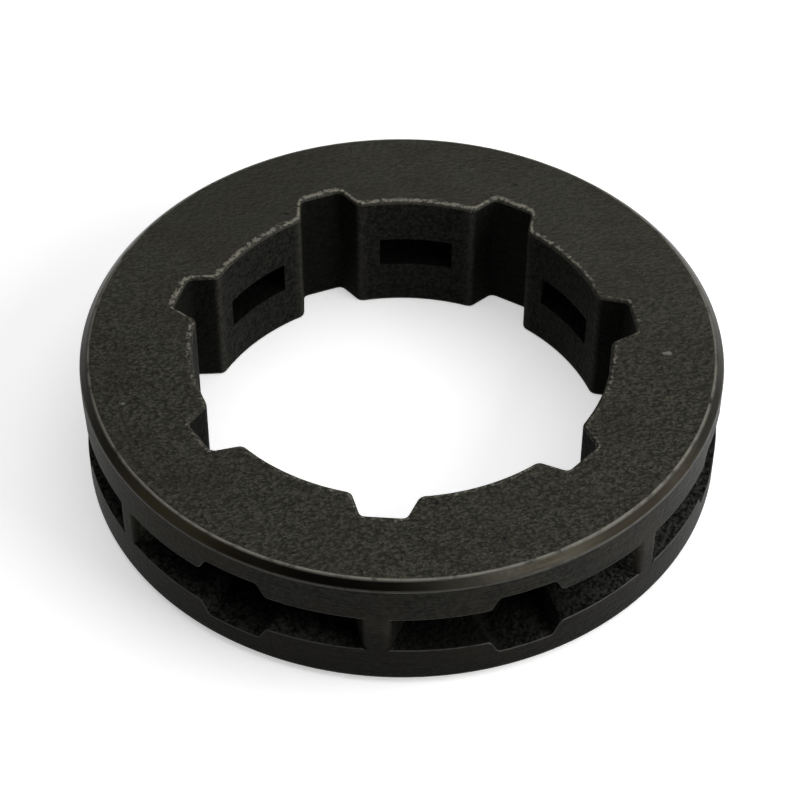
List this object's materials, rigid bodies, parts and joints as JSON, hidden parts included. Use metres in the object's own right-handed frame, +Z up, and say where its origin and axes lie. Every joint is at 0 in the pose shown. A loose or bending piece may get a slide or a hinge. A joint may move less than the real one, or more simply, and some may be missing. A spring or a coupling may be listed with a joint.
{
  "type": "chainsaw rim sprocket",
  "caption": "Flat cast ring with a splined bore, chamfered rim and notched pockets between teeth around its edge, which drive the links of a saw chain from a clutch drum.",
  "frame": {"origin": "centre of the lower face, on the bore's axis", "axes": "+Z up along the bore's axis; one spline groove and the tooth outside it lie on -Y, and a pocket and its window lie on +Y"},
  "size_m": [0.0292, 0.0292, 0.0064],
  "materials": {
    "cast_rim": "dark oxide over fine as-cast grain, with a ground outer wall and worn edges"
  },
  "bodies": {
    "root": {"rim_sprocket": "cast_rim"}
  },
  "joints": []
}
